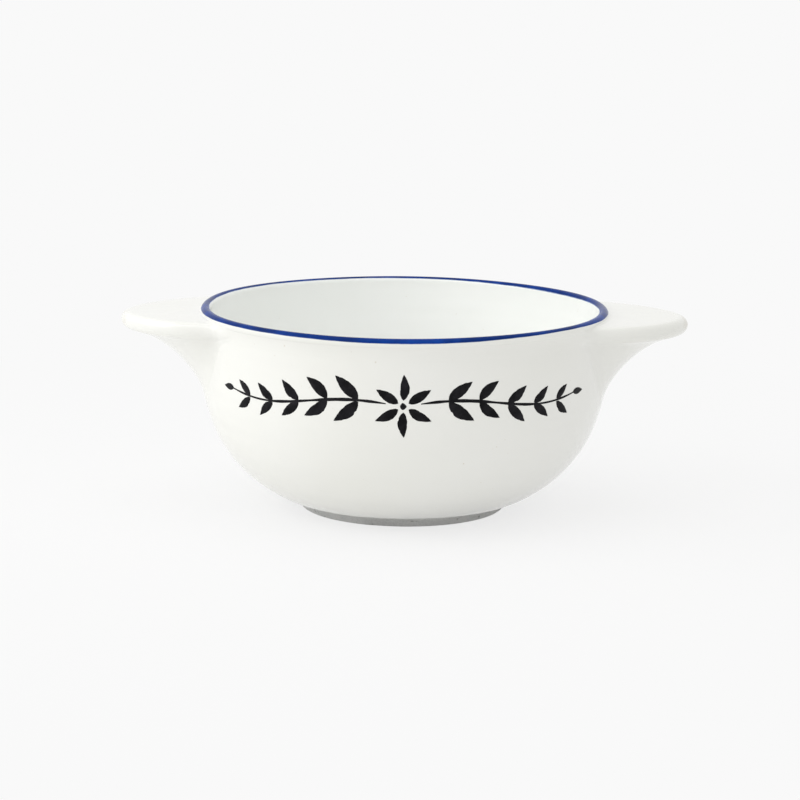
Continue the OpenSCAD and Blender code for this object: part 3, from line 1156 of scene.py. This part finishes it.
def garland():
    """Leaves in pairs along both halves of the stem, and a flower in the middle, as one painting."""
    wall = bpy.data.objects["outer_glaze_coat"]
    flat = bpy.data.meshes.new("front_garland_flat")
    verts, faces = [], []
    rng = np.random.default_rng(garland_seed)
    leaves = [
        stroke_mesh(f"leaf_stroke_{k}", leaf_l, leaf_w, leaf_lean * (k % 3 - 1), k)
        for k in range(leaf_kinds)]
    stem = stem_mesh()
    last_leaf_at = ((garland_l / 2 - stem_w) * MM, stem_height(1) * MM)
    for mirrored in (False, True):
        lay(verts, faces, stem, (0, 0), 0, 1, mirrored)
        for i in range(leaf_pairs):
            share = leaf_first_share + (1 - leaf_first_share) * i / leaf_pairs
            size = 1 - leaf_fade_share * i / leaf_pairs
            x = garland_l / 2 * share
            for side in (-1, 1):
                tilt = side * radians(leaf_tilt + rng.uniform(-leaf_tilt_wander, leaf_tilt_wander))
                at = (x * MM, (stem_height(share) + side * stem_w * leaf_root_share) * MM)
                leaf = leaves[(i + side) % leaf_kinds]
                lay(verts, faces, leaf, at, tilt, size * rng.uniform(*leaf_size_wander), mirrored)
        lay(verts, faces, leaves[1], last_leaf_at, 0, last_leaf_share, mirrored)
    for k in range(petal_n):
        a = radians(90) + 2 * pi * k / petal_n
        at = (leaf_w / 2 * cos(a) * MM, (garland_z + leaf_w / 2 * sin(a)) * MM)
        tilt = a + rng.uniform(-petal_wander, petal_wander)
        lay(verts, faces, leaves[k % leaf_kinds], at, tilt, petal_share)
    berry_r = leaf_w * berry_share
    berry = stroke_mesh("berry_stroke", 2 * berry_r, leaf_w * berry_width_share, 0, berry_seed)
    lay(verts, faces, berry, (-berry_r * MM, garland_z * MM), 0, 1)
    flat.from_pydata(verts, [], faces)
    for stroke in (*leaves, stem, berry):
        bpy.data.objects.remove(stroke)
    start = placed("front_garland_flat", flat)
    bend_round_wall("bend_round_wall", start, wall, enamel)
    bpy.context.view_layer.update()
    graph = bpy.context.evaluated_depsgraph_get()
    mesh = bpy.data.meshes.new_from_object(start.evaluated_get(graph))
    painted = placed("front_garland", mesh)
    bpy.data.objects.remove(start)
    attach(painted, "root")
    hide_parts("front_motif")


garland()


# The table, the light and the camera, and the plain background as the camera sees it
background = (0.947, 0.947, 0.947)

# How much of the bowl's shadow shows, and the distances in metres over which it fades
shadow_share = 0.22
shadow_from = 0.06
shadow_to = 0.3
table_colour = (0.94, 0.94, 0.94)
table_half = 40.0
table_z = -0.02 * MM


def seen_plainly(tree):
    """1 where the camera, a gloss or a glass sees a thing, which then shows the plain background."""
    path = tree.nodes.new("ShaderNodeLightPath")
    gloss = summed(tree, path.outputs["Is Glossy Ray"], path.outputs["Is Transmission Ray"], "MAXIMUM")
    return summed(tree, path.outputs["Is Camera Ray"], gloss, "MAXIMUM")


def pale_table():
    """A plain white table: it looks pale all over, with the bowl's own soft shadow."""
    finish, tree, shader = finish_named("pale_table")
    shader.inputs["Base Color"].default_value = (*table_colour, 1)
    shader.inputs["Roughness"].default_value = 0.9
    shader.inputs["Specular IOR Level"].default_value = 0.1
    coord = tree.nodes.new("ShaderNodeTexCoord")
    far = tree.nodes.new("ShaderNodeVectorMath")
    far.operation = "LENGTH"
    tree.links.new(coord.outputs["Object"], far.inputs[0])
    shadow = span(tree, far.outputs["Value"], shadow_from, shadow_to, shadow_share, 0)
    plain = tree.nodes.new("ShaderNodeEmission")
    plain.inputs["Color"].default_value = (*background, 1)
    seen = summed(tree, seen_plainly(tree), summed(tree, 1.0, shadow, "SUBTRACT"), "MULTIPLY")
    mix = tree.nodes.new("ShaderNodeMixShader")
    tree.links.new(seen, mix.inputs["Fac"])
    tree.links.new(shader.outputs["BSDF"], mix.inputs[1])
    tree.links.new(plain.outputs["Emission"], mix.inputs[2])
    tree.links.new(mix.outputs["Shader"], tree.nodes["Material Output"].inputs["Surface"])
    return finish


def table():
    """A wide table, a hair under the foot so that the two don't share a face."""
    mesh = bpy.data.meshes.new("table_top")
    corners = [(x * table_half, y * table_half, table_z) for x, y in ((-1, -1), (1, -1), (1, 1), (-1, 1))]
    mesh.from_pydata(corners, [], [(0, 1, 2, 3)])
    mesh.materials.append(pale_table())
    top = placed("table_top", mesh)


# The lamps: place and side in metres, and power in watts. They are turned to the middle of the bowl.
lamps = {
    "key_light": ((-0.55, -0.62, 0.75), 0.5, 1.15),
    "side_light": ((-0.88, -0.1, 0.5), 0.7, 2.8),
    "top_light": ((0, 0, 1.0), 0.9, 1.8)}
lit_spot = (0, 0, 0.03)
air_colour = (1, 1, 0.99)
air_strength = 0.72


def soft_light(name, place, side, power):
    """A square studio light at a place in metres."""
    lamp = bpy.data.lights.new(name, "AREA")
    lamp.shape = "RECTANGLE"
    lamp.size = side
    lamp.size_y = side
    lamp.energy = power
    light = placed(name, lamp)
    light.location = place
    light.rotation_euler = (Vector(lit_spot) - Vector(place)).to_track_quat("-Z", "Y").to_euler()


def studio_air():
    """An even white room, with the plain background where it is looked at."""
    world = bpy.data.worlds.new("studio_air")
    world.use_nodes = True
    tree = world.node_tree
    back = tree.nodes["Background"]
    back.inputs["Color"].default_value = (*air_colour, 1)
    back.inputs["Strength"].default_value = air_strength
    seen = tree.nodes.new("ShaderNodeBackground")
    seen.inputs["Color"].default_value = (*background, 1)
    mix = tree.nodes.new("ShaderNodeMixShader")
    tree.links.new(seen_plainly(tree), mix.inputs["Fac"])
    tree.links.new(back.outputs["Background"], mix.inputs[1])
    tree.links.new(seen.outputs["Background"], mix.inputs[2])
    tree.links.new(mix.outputs["Shader"], tree.nodes["World Output"].inputs["Surface"])
    bpy.context.scene.world = world


# The camera of the photo, a little above the bowl's rim: metres, radians, and pixels of a square picture
eye_far = 0.85
eye_up = radians(11.2)
eye_roll = radians(0.706)
aim_z = 0.032
focal_px = 2636.0
frame_px = 800.0
centre_px = (403.4, 406.1)
sensor_mm = 36


def camera():
    """The camera that was fitted to the photo."""
    lens = bpy.data.cameras.new("camera")
    lens.sensor_width = sensor_mm
    lens.lens = focal_px / frame_px * lens.sensor_width
    lens.shift_x = (frame_px / 2 - centre_px[0]) / frame_px
    lens.shift_y = (centre_px[1] - frame_px / 2) / frame_px
    eye = placed("camera", lens)
    eye.location = (0, -eye_far * cos(eye_up), aim_z + eye_far * sin(eye_up))
    turn = Matrix.Rotation(pi / 2 - eye_up, 4, "X") @ Matrix.Rotation(eye_roll, 4, "Z")
    eye.rotation_euler = turn.to_euler()
    bpy.context.scene.camera = eye


camera()
table()
studio_air()
for name, (place, side, power) in lamps.items():
    soft_light(name, place, side, power)

bpy.context.scene.view_settings.view_transform = "Standard"
